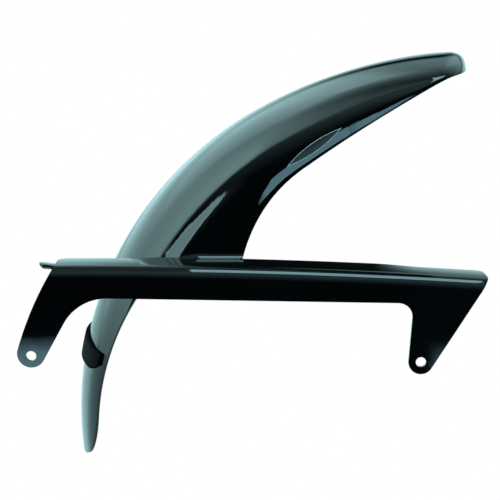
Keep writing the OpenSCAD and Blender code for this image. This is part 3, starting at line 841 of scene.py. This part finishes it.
def make_floor():
    deselect()
    bpy.ops.mesh.primitive_plane_add(size=1)
    floor = bpy.context.object
    floor.name = "studio_floor"
    for v in floor.data.vertices:
        v.co = Vector((FLOOR_X[v.co.x > 0], FLOOR_Y[v.co.y > 0], FLOOR_Z))
    m, nodes, links, shader, coords = new_material("pale_floor")
    grain = add_noise(nodes, links, coords, 3.0, 3.0)
    tone = add_ramp(nodes, links, grain.outputs["Fac"],
                    [(0.3, (0.80, 0.80, 0.80)), (0.7, (0.83, 0.83, 0.83))])
    links.new(tone.outputs["Color"], shader.inputs["Base Color"])
    shader.inputs["Roughness"].default_value = 0.9
    path = nodes.new("ShaderNodeLightPath")
    white = nodes.new("ShaderNodeEmission")
    white.inputs["Color"].default_value = (1, 1, 1, 1)
    white.inputs["Strength"].default_value = 1.0
    mix = nodes.new("ShaderNodeMixShader")
    links.new(path.outputs["Is Camera Ray"], mix.inputs["Fac"])
    links.new(shader.outputs["BSDF"], mix.inputs[1])
    links.new(white.outputs["Emission"], mix.inputs[2])
    links.new(mix.outputs["Shader"], nodes["Material Output"].inputs["Surface"])
    floor.data.materials.append(m)


def add_top_lamp():
    """Soft lamp overhead, to the right of the part's middle."""
    light = bpy.data.lights.new("top_softbox", "AREA")
    light.shape = "RECTANGLE"
    light.size, light.size_y = LAMP_SIZE
    light.energy = LAMP_POWER
    light.color = LAMP_COLOUR
    obj = bpy.data.objects.new("top_softbox", light)
    bpy.context.scene.collection.objects.link(obj)
    obj.location = LAMP_PLACE


def make_world():
    """Soft studio: a broad pale wall on the left, a glow low at the back, dark towards the camera."""
    world = bpy.data.worlds.new("studio")
    bpy.context.scene.world = world
    world.use_nodes = True
    nodes, links = world.node_tree.nodes, world.node_tree.links
    coords = nodes.new("ShaderNodeTexCoord")
    split = nodes.new("ShaderNodeSeparateXYZ")
    links.new(coords.outputs["Generated"], split.inputs["Vector"])

    def node(kind, *values):
        return math_node(nodes, links, kind, *values)

    def profile(angle, stops):
        """Brightness over an angle in degrees, from a list of (angle, value)."""
        low, high = stops[0][0], stops[-1][0]
        share = node("DIVIDE", node("SUBTRACT", angle, low), high - low)
        return add_ramp(nodes, links, share,
                        [((x - low) / (high - low), (v, v, v)) for x, v in stops]).outputs["Color"]

    bearing = node("MULTIPLY", node("ARCTAN2", split.outputs["X"], split.outputs["Y"]), 180 / math.pi)
    height = node("MULTIPLY", node("ARCSINE", split.outputs["Z"]), 180 / math.pi)
    facing = node("MAXIMUM", node("COSINE", node("RADIANS", node("SUBTRACT", bearing, WALL_FACING))), 0.5)
    level = node("SQRT", node("SUBTRACT", 1.0, node("MULTIPLY", split.outputs["Z"], split.outputs["Z"])))
    on_wall = node("MULTIPLY", node("ARCTAN2", split.outputs["Z"], node("MULTIPLY", level, facing)),
                   180 / math.pi)
    wall = node("MULTIPLY", profile(bearing, WALL_ROUND), profile(on_wall, WALL_UP))
    glow = node("MULTIPLY", profile(bearing, GLOW_ROUND), profile(height, GLOW_UP))
    front = node("MULTIPLY", profile(bearing, FRONT_ROUND), profile(height, FRONT_UP))
    ceiling = node("MULTIPLY", profile(bearing, CEILING_ROUND), profile(height, CEILING_UP))
    back = node("MULTIPLY", profile(bearing, BACK_ROUND), profile(height, BACK_UP))
    teal = node("ADD", node("ADD", wall, glow), node("ADD", ceiling, back))

    def background(colour, strength):
        n = nodes.new("ShaderNodeBackground")
        n.inputs["Color"].default_value = (*colour, 1)
        links.new(strength, n.inputs["Strength"])
        return n.outputs["Background"]

    add = nodes.new("ShaderNodeAddShader")
    links.new(background(WALL_TINT, teal), add.inputs[0])
    links.new(background(FRONT_TINT, front), add.inputs[1])
    white = nodes.new("ShaderNodeBackground")
    white.inputs["Color"].default_value = (1, 1, 1, 1)
    white.inputs["Strength"].default_value = 1.0
    path = nodes.new("ShaderNodeLightPath")
    mix = nodes.new("ShaderNodeMixShader")
    links.new(path.outputs["Is Camera Ray"], mix.inputs["Fac"])
    links.new(add.outputs["Shader"], mix.inputs[1])
    links.new(white.outputs["Background"], mix.inputs[2])
    links.new(mix.outputs["Shader"], nodes["World Output"].inputs["Surface"])


def make_camera():
    """The photograph's camera: level bearing, a little above, and a slight roll."""
    el, roll = math.radians(CAMERA_HEIGHT), math.radians(CAMERA_ROLL)
    ahead = Vector((0, math.cos(el), -math.sin(el)))
    up = Vector((0, math.sin(el), math.cos(el)))
    right = Vector((1, 0, 0)) * math.cos(roll) + up * math.sin(roll)
    top = up * math.cos(roll) - Vector((1, 0, 0)) * math.sin(roll)
    shift = [(p - PICTURE / 2) / FOCAL * CAMERA_DEPTH for p in ORIGIN_IN_PICTURE]
    spot = -shift[0] * right + shift[1] * top - CAMERA_DEPTH * ahead
    cam = bpy.data.cameras.new("camera")
    cam.sensor_width = 36
    cam.lens = FOCAL / PICTURE * cam.sensor_width
    obj = bpy.data.objects.new("camera", cam)
    bpy.context.scene.collection.objects.link(obj)
    obj.matrix_world = Matrix(((right.x, top.x, -ahead.x, spot.x), (right.y, top.y, -ahead.y, spot.y),
                               (right.z, top.z, -ahead.z, spot.z), (0, 0, 0, 1)))
    bpy.context.scene.camera = obj


# Put together
gloss = gloss_black()
matt = matt_black()
arch = make_arch()
guard = make_guard()
tongue = make_tongue()
finish_piece(arch, gloss, "gloss_black", "hugger_shell")
finish_piece(guard, gloss, "gloss_black", "hugger_shell")
finish_piece(tongue, gloss, "gloss_black", "hugger_shell")
finish_piece(make_strip(), matt, "matt_black", "buffer_strip")

make_floor()
make_world()
add_top_lamp()
make_camera()
bpy.context.scene.view_settings.view_transform = "Standard"
